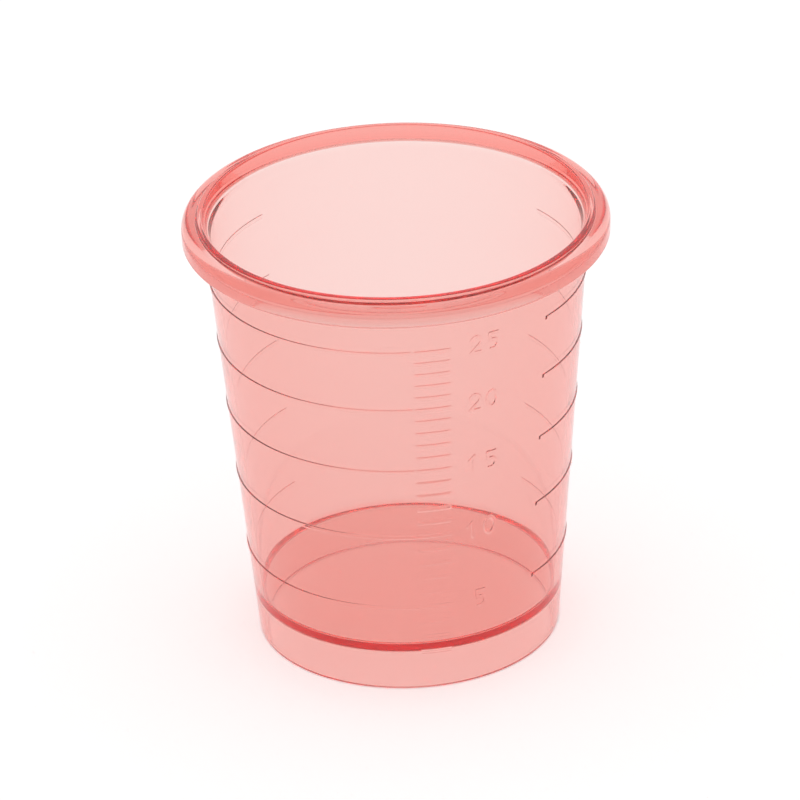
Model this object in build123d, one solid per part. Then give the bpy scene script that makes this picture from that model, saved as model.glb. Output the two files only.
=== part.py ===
from build123d import *
import math
import os

# Graduated medicine cup, one moulding of clear tinted plastic, standing mouth up on its foot.
# Sizes are in millimetres. Z is the axis of the cup and z = 0 is the plane it stands on.

# Body
CUP_HEIGHT = 42.2
RIM_DIAMETER = 39.0
WALL_RADIUS_AT_BASE = 14.0
WALL_THICKNESS = 0.7

# Rim: a thick collar that hangs a little at its edge, so that its underside slopes up to the wall
RIM_OVERHANG = 2.0
RIM_HEIGHT = 1.9
RIM_ROOT_RISE = 1.0
RIM_EDGE_WIDTH = 0.5
RIM_SHOULDER = 0.85
RIM_EDGE_ROUNDING = 0.22
RIM_ROOT_FILLET = 0.3

# Lip: a low ridge round the mouth, where the inside of the wall flares out
LIP_RISE = 0.35
LIP_WIDTH = 0.6
LIP_INNER_ROUNDING = 0.28
LIP_OUTER_ROUNDING = 0.2
LIP_FILLET = 0.12
FLARE = 0.7
FLARE_HEIGHT = 1.8
FLARE_BEND = 2.0

# Bottom: the floor is raised inside a thin foot ring
RECESS_DEPTH = 3.9
FLOOR_THICKNESS = 0.7
FOOT_THICKNESS = 0.7
FLOOR_FILLET = 0.5
RECESS_FILLET = 0.25
FOOT_ROUNDING = 0.25

# Graduations, raised on the outside of the wall
LINE_RELIEF = 0.08
LINE_WIDTH = 0.35
LOWEST_LINE_HEIGHT = 9.0
HIGHEST_LINE_BELOW_RIM = 3.73
SHORT_MARKS_PER_LINE = 5
SHORT_MARKS_BELOW = 3
LONG_LINE_COUNT = 5

# Azimuths in degrees around Z, from the front of the cup (-Y) towards +X
LEFT_ARC = (-133.0, 3.0)
RIGHT_ARC = (50.0, 129.0)
SHORT_MARK_ARC = (4.0, 15.0)
NUMERAL_AZIMUTH = 26.0

# Numerals beside the long lines, which count millilitres at these sizes
NUMBER_STEP = 5
NUMERAL_HEIGHT = 1.9
DIGIT_WIDTH = 1.25
DIGIT_GAP = 0.45
STROKE_WIDTH = 0.28
FLAG_SHARE = 0.75

# Where the open bowls of the figures 2 and 5 start and how far they turn, in degrees
TWO_BOWL = (170.0, -210.0)
FIVE_BOWL = (125.0, -235.0)

# The front, -Y, as an angle from +X
FRONT_ANGLE = -90.0

RIM_TOP = CUP_HEIGHT - LIP_RISE
RIM_FOOT = RIM_TOP - RIM_HEIGHT
WALL_SLOPE = (RIM_DIAMETER / 2 - RIM_OVERHANG - WALL_RADIUS_AT_BASE) / RIM_FOOT
HIGHEST_LINE_HEIGHT = RIM_FOOT - HIGHEST_LINE_BELOW_RIM


def wall_outside(height):
    return WALL_RADIUS_AT_BASE + WALL_SLOPE * height


def wall_inside(height):
    return wall_outside(height) - WALL_THICKNESS


def mark_height(count):
    """Height of a short mark, counted from the lowest long line, with equal volumes between marks."""
    lowest = wall_inside(LOWEST_LINE_HEIGHT)
    highest = wall_inside(HIGHEST_LINE_HEIGHT)
    share = count / ((LONG_LINE_COUNT - 1) * SHORT_MARKS_PER_LINE)
    radius = (lowest**3 + share * (highest**3 - lowest**3)) ** (1 / 3)
    return LOWEST_LINE_HEIGHT + (radius - lowest) / WALL_SLOPE


def rim_corners():
    """Corners of the rim and lip from the wall's outside round to its inside, with their roundings."""
    rim_radius = RIM_DIAMETER / 2
    root_height = RIM_FOOT + RIM_ROOT_RISE
    flare_start = CUP_HEIGHT - FLARE_HEIGHT
    mouth = wall_inside(flare_start) + FLARE
    return [
        ((wall_outside(root_height), root_height), RIM_ROOT_FILLET),
        ((rim_radius - RIM_EDGE_WIDTH, RIM_FOOT), RIM_EDGE_ROUNDING),
        ((rim_radius, RIM_FOOT), RIM_EDGE_ROUNDING),
        ((rim_radius, RIM_TOP), RIM_SHOULDER),
        ((mouth + LIP_WIDTH, RIM_TOP), LIP_FILLET),
        ((mouth + LIP_WIDTH, CUP_HEIGHT), LIP_OUTER_ROUNDING),
        ((mouth, CUP_HEIGHT), LIP_INNER_ROUNDING),
        ((wall_inside(flare_start), flare_start), FLARE_BEND),
    ]


def section():
    """Half section of wall, rim, floor and foot, in the XZ plane."""
    floor_top = RECESS_DEPTH + FLOOR_THICKNESS
    corners = [
        ((0, RECESS_DEPTH), 0),
        ((wall_outside(RECESS_DEPTH) - FOOT_THICKNESS, RECESS_DEPTH), RECESS_FILLET),
        ((wall_outside(0) - FOOT_THICKNESS, 0), FOOT_ROUNDING),
        ((wall_outside(0), 0), FOOT_ROUNDING),
        *rim_corners(),
        ((wall_inside(floor_top), floor_top), FLOOR_FILLET),
        ((0, floor_top), 0),
    ]
    face = make_face(Polyline([point for point, rounding in corners], close=True))
    for point, rounding in corners:
        if rounding:
            face = fillet(face.vertices().sort_by_distance(point)[0], rounding)
    return face


def moulding():
    """Wall, floor, foot and rim as one turned solid."""
    return revolve(Plane.XZ * section(), Axis.Z)


def relief_band(low, high, azimuths):
    """A band of the relief that stands on the wall between two heights and two azimuths."""
    sunk = WALL_THICKNESS / 2
    profile = make_face(
        Polyline(
            (wall_outside(low) - sunk, low),
            (wall_outside(low) + LINE_RELIEF, low),
            (wall_outside(high) + LINE_RELIEF, high),
            (wall_outside(high) - sunk, high),
            close=True,
        )
    )
    start, end = azimuths
    band = revolve(Plane.XZ * profile, Axis.Z, revolution_arc=end - start)
    return Rot(0, 0, FRONT_ANGLE + start) * band


def line(height, azimuths):
    return relief_band(height - LINE_WIDTH / 2, height + LINE_WIDTH / 2, azimuths)


def graduations():
    """Long lines, open where the numerals stand, and a column of short marks."""
    marks = []
    for count in range(-SHORT_MARKS_BELOW, (LONG_LINE_COUNT - 1) * SHORT_MARKS_PER_LINE + 1):
        height = mark_height(count)
        marks.append(line(height, SHORT_MARK_ARC))
        if count >= 0 and count % SHORT_MARKS_PER_LINE == 0:
            marks.append(line(height, LEFT_ARC))
            marks.append(line(height, RIGHT_ARC))
    return marks


def digit(figure):
    """One figure in strokes, centred on the origin."""
    across = (DIGIT_WIDTH - STROKE_WIDTH) / 2
    up = (NUMERAL_HEIGHT - STROKE_WIDTH) / 2
    half = STROKE_WIDTH / 2
    if figure == "0":
        return make_face(Ellipse(across + half, up + half).edges()) - Ellipse(across - half, up - half)
    if figure == "1":
        stem = Line((0, -up), (0, up))
        flag = Line((0, up), (-across, up - across))
        return trace([stem], STROKE_WIDTH) + trace([flag], STROKE_WIDTH)
    if figure == "2":
        bowl = CenterArc((0, up - across), across, *TWO_BOWL)
        foot = (-across, -up)
        return trace([bowl, Line(bowl @ 1, foot), Line(foot, (across, -up))], STROKE_WIDTH)
    bowl = CenterArc((0, across - up), across, *FIVE_BOWL)
    shoulder = (-across * FLAG_SHARE, up)
    return trace([Line((across, up), shoulder), Line(shoulder, bowl @ 0), bowl], STROKE_WIDTH)


def numeral(number, height):
    """A number raised on the wall, centred on a height beside the short marks."""
    pitch = DIGIT_WIDTH + DIGIT_GAP
    figures = str(number)
    face = Sketch()
    for place, figure in enumerate(figures):
        face = face + Pos((place - (len(figures) - 1) / 2) * pitch, 0) * digit(figure)
    turn = math.radians(NUMERAL_AZIMUTH)
    outward = Vector(math.sin(turn), -math.cos(turn), 0)
    sideways = Vector(math.cos(turn), math.sin(turn), 0)
    centre = outward * wall_outside(height) + Vector(0, 0, height)
    block = extrude(Plane(centre, x_dir=sideways, z_dir=outward) * face, WALL_THICKNESS, both=True)
    reach = math.degrees(len(figures) * pitch / wall_outside(height))
    azimuths = (NUMERAL_AZIMUTH - reach, NUMERAL_AZIMUTH + reach)
    return block & relief_band(height - NUMERAL_HEIGHT, height + NUMERAL_HEIGHT, azimuths)


def numerals():
    """The number at each long line."""
    return [
        numeral((count + 1) * NUMBER_STEP, mark_height(count * SHORT_MARKS_PER_LINE))
        for count in range(LONG_LINE_COUNT)
    ]


graduated_cup = moulding() + graduations() + numerals()

os.makedirs("parts", exist_ok=True)
export_step(graduated_cup, "parts/cup.step")
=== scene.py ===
import math

import bpy
import numpy as np
from mathutils import Matrix, Vector


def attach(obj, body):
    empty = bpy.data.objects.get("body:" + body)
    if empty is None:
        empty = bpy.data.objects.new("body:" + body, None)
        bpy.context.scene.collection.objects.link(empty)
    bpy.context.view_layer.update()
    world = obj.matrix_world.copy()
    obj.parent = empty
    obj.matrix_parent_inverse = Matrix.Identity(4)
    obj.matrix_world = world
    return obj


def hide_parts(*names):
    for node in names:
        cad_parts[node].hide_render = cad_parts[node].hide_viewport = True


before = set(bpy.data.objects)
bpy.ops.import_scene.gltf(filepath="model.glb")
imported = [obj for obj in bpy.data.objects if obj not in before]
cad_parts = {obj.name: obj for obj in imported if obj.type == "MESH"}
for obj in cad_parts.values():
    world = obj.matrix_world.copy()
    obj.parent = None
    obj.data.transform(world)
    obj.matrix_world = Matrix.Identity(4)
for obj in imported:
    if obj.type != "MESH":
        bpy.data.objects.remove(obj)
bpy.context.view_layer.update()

MM = 0.001

# The cup's section, in millimetres, as in the CAD model
CUP_HEIGHT = 42.2
RIM_DIAMETER = 39.0
WALL_RADIUS_AT_BASE = 14.0
WALL_THICKNESS = 0.7
RIM_OVERHANG = 2.0
RIM_HEIGHT = 1.9
RIM_ROOT_RISE = 1.0
RIM_EDGE_WIDTH = 0.5
RIM_SHOULDER = 0.85
RIM_EDGE_ROUNDING = 0.22
RIM_ROOT_FILLET = 0.3
LIP_RISE = 0.35
LIP_WIDTH = 0.6
LIP_INNER_ROUNDING = 0.28
LIP_OUTER_ROUNDING = 0.2
LIP_FILLET = 0.12
FLARE = 0.7
FLARE_HEIGHT = 1.8
FLARE_BEND = 2.0
RECESS_DEPTH = 3.9
FLOOR_THICKNESS = 0.7
FOOT_THICKNESS = 0.7
FLOOR_FILLET = 0.5
RECESS_FILLET = 0.25
FOOT_ROUNDING = 0.25

# Graduations raised on the wall, in millimetres and in degrees from the front, -Y, towards +X
LINE_RELIEF = 0.08
LINE_WIDTH = 0.35
EDGE_SOFTNESS = 0.1
LOWEST_LINE_HEIGHT = 9.0
HIGHEST_LINE_BELOW_RIM = 3.73
SHORT_MARKS_PER_LINE = 5
SHORT_MARKS_BELOW = 3
LONG_LINE_COUNT = 5
LEFT_ARC = (-133.0, 3.0)
RIGHT_ARC = (50.0, 129.0)
SHORT_MARK_ARC = (4.0, 15.0)
NUMBER_STEP = 5
NUMERAL_AZIMUTH = 26.0
NUMERAL_HEIGHT = 1.9
DIGIT_WIDTH = 1.25
DIGIT_GAP = 0.45
STROKE_WIDTH = 0.28
FLAG_SHARE = 0.75

# Where the open bowls of the figures 2 and 5 start and how far they turn, in degrees
TWO_BOWL = (170.0, -210.0)
FIVE_BOWL = (125.0, -235.0)

# The front, -Y, as an angle from +X
FRONT_ANGLE = -90.0

# Mesh steps round the cup and round the section's corners, in degrees
COARSE_TURN = 2.0
FINE_TURN = 0.22
ARC_TURN = 4.0

# Mesh steps along the section, in millimetres, with a ring this close to each end of a longer run.
# Nearer to the axis than the limit, a ring is a single point.
SUPPORT = 0.03
SUPPORTED_LENGTH = 4 * SUPPORT
WALL_STEP = 4.0
AXIS_LIMIT = 0.003

# Detail of the marks: rows to a stroke's width, how far the fine zone reaches for a digit's pitch,
# points in a figure's curves, and the distance over which the relief's slope is measured
ROWS_PER_STROKE = 3
NUMERAL_MARGIN = 1.05
BOWL_POINTS = 25
OVAL_POINTS = 37
SLOPE_STEP = EDGE_SOFTNESS / 8

# A stretch that is longer than whole steps by less than this share of a step takes no extra one
STEP_TOLERANCE = 1e-6

# Plastic: the tint is in its depth, and the surface varies a little in gloss and flatness
SURFACE_COLOUR = (0.95, 0.93, 0.915, 1)
CLEAR_SHARE = 0.97
REFRACTIVE_INDEX = 1.49
PATCH_SCALE = 220.0
PATCH_DETAIL = 3.0
LEAST_ROUGHNESS = 0.0
MOST_ROUGHNESS = 0.02
RIPPLE_STRENGTH = 0.02
RIPPLE_MM = 0.1
DEPTH_COLOUR = (1.0, 0.65, 0.61, 1)
DEPTH_DENSITY = 1150.0

# Studio: a square floor, in metres from its middle to a side, under an even white sky
FLOOR_REACH = 3.0
FLOOR_COLOUR = (0.9, 0.9, 0.9, 1)
FLOOR_GLOW = 0.2
SKY_COLOUR = (1, 1, 1, 1)
SKY_STRENGTH = 0.95

# How often light may turn on its way through the plastic
LIGHT_BOUNCES = 64

# Camera, from the photograph: an 800 pixel square frame, millimetres and degrees
FRAME_PIXELS = 800
FOCAL_PIXELS = 6782.0
CAMERA_DISTANCE = 625.0
CAMERA_ELEVATION = 28.0
CAMERA_ROLL = -2.02
TARGET_HEIGHT = 20.6
AIM_SHIFT_PIXELS = (-2.69, 18.91)
SENSOR_MM = 36.0
CLIP_START_M = 0.01

RIM_TOP = CUP_HEIGHT - LIP_RISE
RIM_FOOT = RIM_TOP - RIM_HEIGHT
WALL_SLOPE = (RIM_DIAMETER / 2 - RIM_OVERHANG - WALL_RADIUS_AT_BASE) / RIM_FOOT
HIGHEST_LINE_HEIGHT = RIM_FOOT - HIGHEST_LINE_BELOW_RIM
HIGHEST_MARK = (LONG_LINE_COUNT - 1) * SHORT_MARKS_PER_LINE


def wall_outside(height):
    return WALL_RADIUS_AT_BASE + WALL_SLOPE * height


def wall_inside(height):
    return wall_outside(height) - WALL_THICKNESS


def mark_height(count):
    """Height of a short mark, counted from the lowest long line, with equal volumes between marks."""
    lowest = wall_inside(LOWEST_LINE_HEIGHT)
    highest = wall_inside(HIGHEST_LINE_HEIGHT)
    share = count / HIGHEST_MARK
    radius = (lowest**3 + share * (highest**3 - lowest**3)) ** (1 / 3)
    return LOWEST_LINE_HEIGHT + (radius - lowest) / WALL_SLOPE


def mark_heights():
    """Every mark's place in the scale with its height, the lowest long line being 0."""
    return [(count, mark_height(count)) for count in range(-SHORT_MARKS_BELOW, HIGHEST_MARK + 1)]


def has_long_line(count):
    return count >= 0 and count % SHORT_MARKS_PER_LINE == 0


def section_corners():
    """Corners of the half section with their radii, from the recess's middle to the floor's middle."""
    floor_top = RECESS_DEPTH + FLOOR_THICKNESS
    rim_radius = RIM_DIAMETER / 2
    root_height = RIM_FOOT + RIM_ROOT_RISE
    flare_start = CUP_HEIGHT - FLARE_HEIGHT
    mouth = wall_inside(flare_start) + FLARE
    return [
        (0, RECESS_DEPTH, 0),
        (wall_outside(RECESS_DEPTH) - FOOT_THICKNESS, RECESS_DEPTH, RECESS_FILLET),
        (wall_outside(0) - FOOT_THICKNESS, 0, FOOT_ROUNDING),
        (wall_outside(0), 0, FOOT_ROUNDING),
        (wall_outside(root_height), root_height, RIM_ROOT_FILLET),
        (rim_radius - RIM_EDGE_WIDTH, RIM_FOOT, RIM_EDGE_ROUNDING),
        (rim_radius, RIM_FOOT, RIM_EDGE_ROUNDING),
        (rim_radius, RIM_TOP, RIM_SHOULDER),
        (mouth + LIP_WIDTH, RIM_TOP, LIP_FILLET),
        (mouth + LIP_WIDTH, CUP_HEIGHT, LIP_OUTER_ROUNDING),
        (mouth, CUP_HEIGHT, LIP_INNER_ROUNDING),
        (wall_inside(flare_start), flare_start, FLARE_BEND),
        (wall_inside(floor_top), floor_top, FLOOR_FILLET),
        (0, floor_top, 0),
    ]


def unit(vector):
    return vector / np.hypot(*vector)


def arc_points(start, outward, radius, turn):
    """Points round a corner with the outward normal at each, from the arc's start through its turn."""
    side = math.copysign(1, turn)
    centre = start - outward * radius * side
    count = max(2, math.ceil(abs(math.degrees(turn)) / ARC_TURN))
    points = []
    for step in range(count + 1):
        angle = turn * step / count
        cos = math.cos(angle)
        sin = math.sin(angle)
        normal = np.array([cos * outward[0] - sin * outward[1], sin * outward[0] + cos * outward[1]])
        points.append((centre + normal * radius * side, normal))
    return points


def rounded_path(corners):
    """Straight runs and arcs through the corners, as lists of points with the outward normal there."""
    points = np.array([corner[:2] for corner in corners], float)
    runs = []
    start = points[0]
    for index in range(1, len(points)):
        along = unit(points[index] - points[index - 1])
        outward = np.array([along[1], -along[0]])
        end = points[index]
        radius = corners[index][2]
        if radius:
            ahead = unit(points[index + 1] - points[index])
            turn = math.atan2(along[0] * ahead[1] - along[1] * ahead[0], along @ ahead)
            setback = radius * math.tan(abs(turn) / 2)
            end = points[index] - along * setback
        runs.append(("straight", [(start, outward), (end, outward)]))
        start = end
        if radius:
            arc = arc_points(end, outward, radius, turn)
            runs.append(("arc", arc))
            start = arc[-1][0]
    return runs


def outer_wall_run(runs):
    """Number of the straight run that is the outside of the wall: the tallest that faces outward."""
    lengths = [
        abs(points[-1][0][1] - points[0][0][1]) if kind == "straight" and points[0][1][0] > 0 else 0
        for kind, points in runs
    ]
    return lengths.index(max(lengths))


def band(value, low, high):
    """1 between two limits and 0 outside them, with soft edges."""
    rise = np.clip((value - low) / EDGE_SOFTNESS + 0.5, 0, 1)
    fall = np.clip((high - value) / EDGE_SOFTNESS + 0.5, 0, 1)
    shape = np.minimum(rise, fall)
    return shape * shape * (3 - 2 * shape)


def figure_path(figure):
    """Centre line of a figure as a chain of points, centred on the origin."""
    across = (DIGIT_WIDTH - STROKE_WIDTH) / 2
    up = (NUMERAL_HEIGHT - STROKE_WIDTH) / 2

    def bowl(centre, start, turn):
        angles = np.radians(np.linspace(start, start + turn, BOWL_POINTS))
        return [(centre[0] + across * math.cos(a), centre[1] + across * math.sin(a)) for a in angles]

    if figure == "0":
        angles = np.radians(np.linspace(0, 360, OVAL_POINTS))
        return [(across * math.cos(a), up * math.sin(a)) for a in angles]
    if figure == "1":
        return [(-across, up - across), (0, up), (0, -up)]
    if figure == "2":
        return bowl((0, up - across), *TWO_BOWL) + [(-across, -up), (across, -up)]
    return [(across, up), (-across * FLAG_SHARE, up)] + bowl((0, across - up), *FIVE_BOWL)


def distance_to_path(x, y, path):
    """Distance of each point to a chain of straight pieces."""
    best = np.full(np.broadcast(x, y).shape, np.inf)
    for (ax, ay), (bx, by) in zip(path, path[1:]):
        length = (bx - ax) ** 2 + (by - ay) ** 2
        share = np.clip(((x - ax) * (bx - ax) + (y - ay) * (by - ay)) / length, 0, 1)
        best = np.minimum(best, np.hypot(x - ax - share * (bx - ax), y - ay - share * (by - ay)))
    return best


def numeral_relief(across, up, number):
    """How far a number's strokes stand out, from 0 to 1, at millimetres from the number's centre."""
    figures = str(number)
    total = np.zeros(np.broadcast(across, up).shape)
    for place, figure in enumerate(figures):
        centre = (place - (len(figures) - 1) / 2) * (DIGIT_WIDTH + DIGIT_GAP)
        away = distance_to_path(across - centre, up, figure_path(figure))
        total = np.maximum(total, band(away, -STROKE_WIDTH, STROKE_WIDTH / 2))
    return total


def relief(azimuth, height):
    """How far the marks stand out of the wall, from 0 to 1, at azimuths in degrees and heights."""
    turn_mm = math.radians(1) * wall_outside(height)
    total = np.zeros(np.broadcast(azimuth, height).shape)
    for count, level in mark_heights():
        across = band(height, level - LINE_WIDTH / 2, level + LINE_WIDTH / 2)
        arcs = [SHORT_MARK_ARC]
        if has_long_line(count):
            arcs += [LEFT_ARC, RIGHT_ARC]
            number = (count // SHORT_MARKS_PER_LINE + 1) * NUMBER_STEP
            sideways = (azimuth - NUMERAL_AZIMUTH) * turn_mm
            total = np.maximum(total, numeral_relief(sideways, height - level, number))
        for start, end in arcs:
            total = np.maximum(total, across * band(azimuth * turn_mm, start * turn_mm, end * turn_mm))
    return total


def spaced(stops, step):
    """Values from the first stop to the last, every stop among them, no further apart than the step."""
    values = [stops[0]]
    for low, high in zip(stops, stops[1:]):
        count = max(1, math.ceil((high - low) / step - STEP_TOLERANCE))
        values += [low + (high - low) * (k + 1) / count for k in range(count)]
    return values


def azimuth_steps():
    """Azimuths round the cup: fine across the numerals and at the ends of marks, coarse elsewhere."""
    soft = math.degrees(EDGE_SOFTNESS / WALL_RADIUS_AT_BASE)
    reach = math.degrees((DIGIT_WIDTH + DIGIT_GAP) * NUMERAL_MARGIN / WALL_RADIUS_AT_BASE)
    ends = [-180.0, 180.0]
    for edge in (*LEFT_ARC, *RIGHT_ARC, *SHORT_MARK_ARC):
        ends += [edge - soft, edge, edge + soft]
    fine = (NUMERAL_AZIMUTH - reach, NUMERAL_AZIMUTH + reach)
    low = spaced(sorted([e for e in ends if e < fine[0]] + [fine[0]]), COARSE_TURN)
    middle = spaced(fine, FINE_TURN)
    high = spaced(sorted([fine[1]] + [e for e in ends if e > fine[1]]), COARSE_TURN)
    return np.array((low + middle[1:] + high[1:])[:-1])


def wall_heights(low, high):
    """Heights of the rings on the outside of the wall, close together at marks and numerals."""
    stops = {low, low + SUPPORT, high - SUPPORT, high}
    for count, level in mark_heights():
        for edge in (level - LINE_WIDTH / 2, level + LINE_WIDTH / 2):
            stops |= {edge + share * EDGE_SOFTNESS for share in (-1, -0.5, 0, 0.5, 1)}
        if has_long_line(count):
            reach = NUMERAL_HEIGHT / 2 + EDGE_SOFTNESS
            rows = round(2 * reach / (STROKE_WIDTH / ROWS_PER_STROKE))
            stops |= {level - reach + 2 * reach * row / rows for row in range(rows + 1)}
    return spaced(sorted(s for s in stops if low <= s <= high), WALL_STEP)


def straight_points(ends, is_wall):
    """Points along a straight run of the section, each with the run's outward normal."""
    (start, outward), (end, _) = ends
    length = np.hypot(*(end - start))
    shares = [0, 1]
    if is_wall:
        heights = wall_heights(start[1], end[1])
        shares = [(height - start[1]) / (end[1] - start[1]) for height in heights]
    elif length > SUPPORTED_LENGTH:
        edge = SUPPORT / length
        shares = [0, edge, 0.5, 1 - edge, 1]
    return [(start + (end - start) * share, outward) for share in shares]


def wall_relief(azimuths, radius, height):
    """The marks' relief round one ring of the wall, in millimetres, with its slopes up and round."""
    turn = math.degrees(SLOPE_STEP / radius)
    lift = LINE_RELIEF * relief(azimuths, height)
    upward = relief(azimuths, height + SLOPE_STEP) - relief(azimuths, height - SLOPE_STEP)
    around = relief(azimuths + turn, height) - relief(azimuths - turn, height)
    return lift, LINE_RELIEF * upward / (2 * SLOPE_STEP), LINE_RELIEF * around / (2 * SLOPE_STEP)


def ring_at(azimuths, place, outward, is_wall):
    """Points and normals of the ring that a point of the section turns through, one each on the axis."""
    radius, height = place
    if radius < AXIS_LIMIT:
        return np.array([[0, 0, height]]), np.array([[0, 0, math.copysign(1, outward[1])]])
    turns = np.radians(azimuths + FRONT_ANGLE)
    cos = np.cos(turns)
    sin = np.sin(turns)
    lift, slope_up, slope_round = np.zeros((3, len(azimuths)))
    if is_wall:
        lift, slope_up, slope_round = wall_relief(azimuths, radius, height)
    reach = radius + lift
    points = np.stack([reach * cos, reach * sin, np.full(len(azimuths), height)], 1)
    normal_x = outward[0] * cos + slope_round * sin
    normal_y = outward[0] * sin - slope_round * cos
    normals = np.stack([normal_x, normal_y, outward[1] - slope_up], 1)
    return points, normals / np.linalg.norm(normals, axis=1)[:, None]


def join(faces, normals, lower, upper):
    """Faces between two rings, one of which may be a single point on the axis."""
    (low_ids, low_normal), (high_ids, high_normal) = lower, upper
    count = max(len(low_ids), len(high_ids))
    for k in range(count):
        n = (k + 1) % count
        if len(low_ids) == 1:
            faces.append((low_ids[0], high_ids[n], high_ids[k]))
            normals += [low_normal[0], high_normal[n], high_normal[k]]
        elif len(high_ids) == 1:
            faces.append((low_ids[k], low_ids[n], high_ids[0]))
            normals += [low_normal[k], low_normal[n], high_normal[0]]
        else:
            faces.append((low_ids[k], low_ids[n], high_ids[n], high_ids[k]))
            normals += [low_normal[k], low_normal[n], high_normal[n], high_normal[k]]


def turned_section():
    """One closed skin turned from the section: vertices, faces, and a normal at each face's corners."""
    azimuths = azimuth_steps()
    runs = rounded_path(section_corners())
    wall = outer_wall_run(runs)
    vertices = []
    faces = []
    normals = []
    last = None
    for number, (kind, points) in enumerate(runs):
        is_wall = number == wall
        places = straight_points(points, is_wall) if kind == "straight" else points
        for index, (place, outward) in enumerate(places):
            ring, ring_normals = ring_at(azimuths, place, outward, is_wall)
            if index == 0 and last:
                # A run starts on the vertices that the run before it ended with
                ids = last[0]
            else:
                ids = range(len(vertices), len(vertices) + len(ring))
                vertices.extend(ring * MM)
            if index:
                join(faces, normals, last, (ids, ring_normals))
            last = (ids, ring_normals)
    return vertices, faces, normals


def lathe(name):
    """The cup as one closed mesh, turned from its section, with exact normals."""
    vertices, faces, normals = turned_section()
    mesh = bpy.data.meshes.new(name)
    mesh.from_pydata([tuple(v) for v in vertices], [], faces)
    mesh.polygons.foreach_set("use_smooth", [True] * len(faces))
    mesh.normals_split_custom_set([tuple(n) for n in normals])
    mesh.update()
    return mesh


def new_material(name):
    """A node material that holds only its output, with its nodes, its links and that output."""
    material = bpy.data.materials.new(name)
    material.use_nodes = True
    nodes = material.node_tree.nodes
    nodes.clear()
    return material, nodes, material.node_tree.links, nodes.new("ShaderNodeOutputMaterial")


def clear_plastic():
    """Clear pink moulded plastic: colour from absorption, a soft gloss that varies a little."""
    material, nodes, links, output = new_material("clear_pink_plastic")
    surface = nodes.new("ShaderNodeBsdfPrincipled")
    surface.inputs["Base Color"].default_value = SURFACE_COLOUR
    surface.inputs["Transmission Weight"].default_value = CLEAR_SHARE
    surface.inputs["IOR"].default_value = REFRACTIVE_INDEX
    place = nodes.new("ShaderNodeTexCoord")
    patches = nodes.new("ShaderNodeTexNoise")
    patches.inputs["Scale"].default_value = PATCH_SCALE
    patches.inputs["Detail"].default_value = PATCH_DETAIL
    gloss = nodes.new("ShaderNodeMapRange")
    gloss.inputs["To Min"].default_value = LEAST_ROUGHNESS
    gloss.inputs["To Max"].default_value = MOST_ROUGHNESS
    ripple = nodes.new("ShaderNodeBump")
    ripple.inputs["Strength"].default_value = RIPPLE_STRENGTH
    ripple.inputs["Distance"].default_value = RIPPLE_MM * MM
    depth = nodes.new("ShaderNodeVolumeAbsorption")
    depth.inputs["Color"].default_value = DEPTH_COLOUR
    depth.inputs["Density"].default_value = DEPTH_DENSITY
    links.new(place.outputs["Object"], patches.inputs["Vector"])
    links.new(patches.outputs["Fac"], gloss.inputs["Value"])
    links.new(gloss.outputs["Result"], surface.inputs["Roughness"])
    links.new(patches.outputs["Fac"], ripple.inputs["Height"])
    links.new(ripple.outputs["Normal"], surface.inputs["Normal"])
    links.new(surface.outputs["BSDF"], output.inputs["Surface"])
    links.new(depth.outputs["Volume"], output.inputs["Volume"])
    return material


def build_cup():
    mesh = lathe("medicine_cup")
    mesh.materials.append(clear_plastic())
    cup = bpy.data.objects.new("medicine_cup", mesh)
    bpy.context.scene.collection.objects.link(cup)
    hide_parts("cup")
    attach(cup, "root")


def floor_material():
    """Pale floor that takes a shadow, a little brighter where the camera sees it, cup or no cup."""
    material, nodes, links, output = new_material("studio_floor")
    matte = nodes.new("ShaderNodeBsdfDiffuse")
    matte.inputs["Color"].default_value = FLOOR_COLOUR
    glow = nodes.new("ShaderNodeEmission")
    path = nodes.new("ShaderNodeLightPath")
    direct_or_through = nodes.new("ShaderNodeMath")
    direct_or_through.operation = "MAXIMUM"
    seen = nodes.new("ShaderNodeMath")
    seen.operation = "MAXIMUM"
    lift = nodes.new("ShaderNodeMath")
    lift.operation = "MULTIPLY"
    lift.inputs[1].default_value = FLOOR_GLOW
    add = nodes.new("ShaderNodeAddShader")
    links.new(path.outputs["Is Camera Ray"], direct_or_through.inputs[0])
    links.new(path.outputs["Is Transmission Ray"], direct_or_through.inputs[1])
    links.new(direct_or_through.outputs["Value"], seen.inputs[0])
    links.new(path.outputs["Is Glossy Ray"], seen.inputs[1])
    links.new(seen.outputs["Value"], lift.inputs[0])
    links.new(lift.outputs["Value"], glow.inputs["Strength"])
    links.new(matte.outputs["BSDF"], add.inputs[0])
    links.new(glow.outputs["Emission"], add.inputs[1])
    links.new(add.outputs["Shader"], output.inputs["Surface"])
    return material


def build_floor():
    mesh = bpy.data.meshes.new("studio_floor")
    signs = ((-1, -1), (1, -1), (1, 1), (-1, 1))
    mesh.from_pydata([(x * FLOOR_REACH, y * FLOOR_REACH, 0) for x, y in signs], [], [(0, 1, 2, 3)])
    mesh.materials.append(floor_material())
    floor = bpy.data.objects.new("studio_floor", mesh)
    bpy.context.scene.collection.objects.link(floor)


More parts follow.
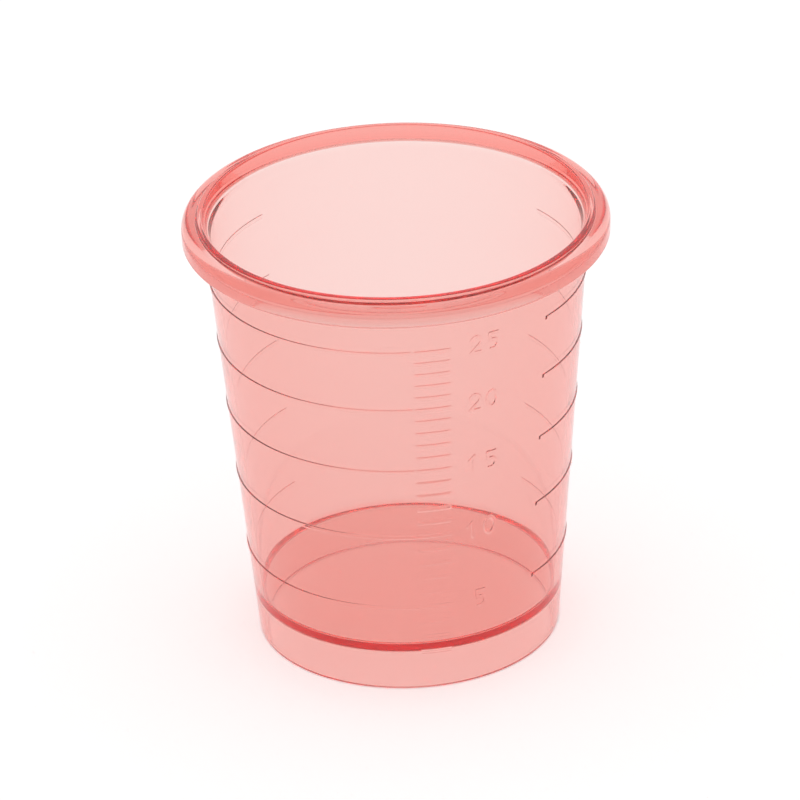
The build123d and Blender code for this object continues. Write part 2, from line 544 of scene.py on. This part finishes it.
def build_world():
    world = bpy.data.worlds.new("studio")
    world.use_nodes = True
    background = world.node_tree.nodes["Background"]
    background.inputs["Color"].default_value = SKY_COLOUR
    background.inputs["Strength"].default_value = SKY_STRENGTH
    bpy.context.scene.world = world


def camera_axes(forward):
    """The camera's right, up and forward directions, after its roll and the shift of its aim."""
    right = Vector((1, 0, 0))
    up = right.cross(forward)
    roll = math.radians(CAMERA_ROLL)
    rolled_right = math.cos(roll) * right + math.sin(roll) * up
    rolled_up = math.cos(roll) * up - math.sin(roll) * right
    shift_right, shift_up = AIM_SHIFT_PIXELS
    shift = (rolled_right * shift_right + rolled_up * shift_up) * (CAMERA_DISTANCE / FOCAL_PIXELS)
    aimed = (forward * CAMERA_DISTANCE + shift).normalized()
    aimed_right = aimed.cross(rolled_up).normalized()
    return aimed_right, aimed_right.cross(aimed), aimed


def build_camera():
    elevation = math.radians(CAMERA_ELEVATION)
    to_cup = Vector((0, math.cos(elevation), -math.sin(elevation)))
    place = Vector((0, 0, TARGET_HEIGHT)) - CAMERA_DISTANCE * to_cup
    right, up, forward = camera_axes(to_cup)
    data = bpy.data.cameras.new("camera")
    data.sensor_width = SENSOR_MM
    data.lens = SENSOR_MM * FOCAL_PIXELS / FRAME_PIXELS
    data.clip_start = CLIP_START_M
    camera = bpy.data.objects.new("camera", data)
    bpy.context.scene.collection.objects.link(camera)
    axes = Matrix((right, up, -forward)).transposed().to_4x4()
    camera.matrix_world = Matrix.Translation(place * MM) @ axes
    bpy.context.scene.camera = camera


def set_light_paths():
    """Let light turn often in the plastic, and keep the sharp light that it throws on the floor."""
    cycles = bpy.context.scene.cycles
    cycles.max_bounces = LIGHT_BOUNCES
    cycles.transmission_bounces = LIGHT_BOUNCES
    cycles.glossy_bounces = LIGHT_BOUNCES
    cycles.diffuse_bounces = LIGHT_BOUNCES
    cycles.blur_glossy = 0.0


build_cup()
build_floor()
build_world()
build_camera()
set_light_paths()
bpy.context.scene.view_settings.view_transform = "Standard"
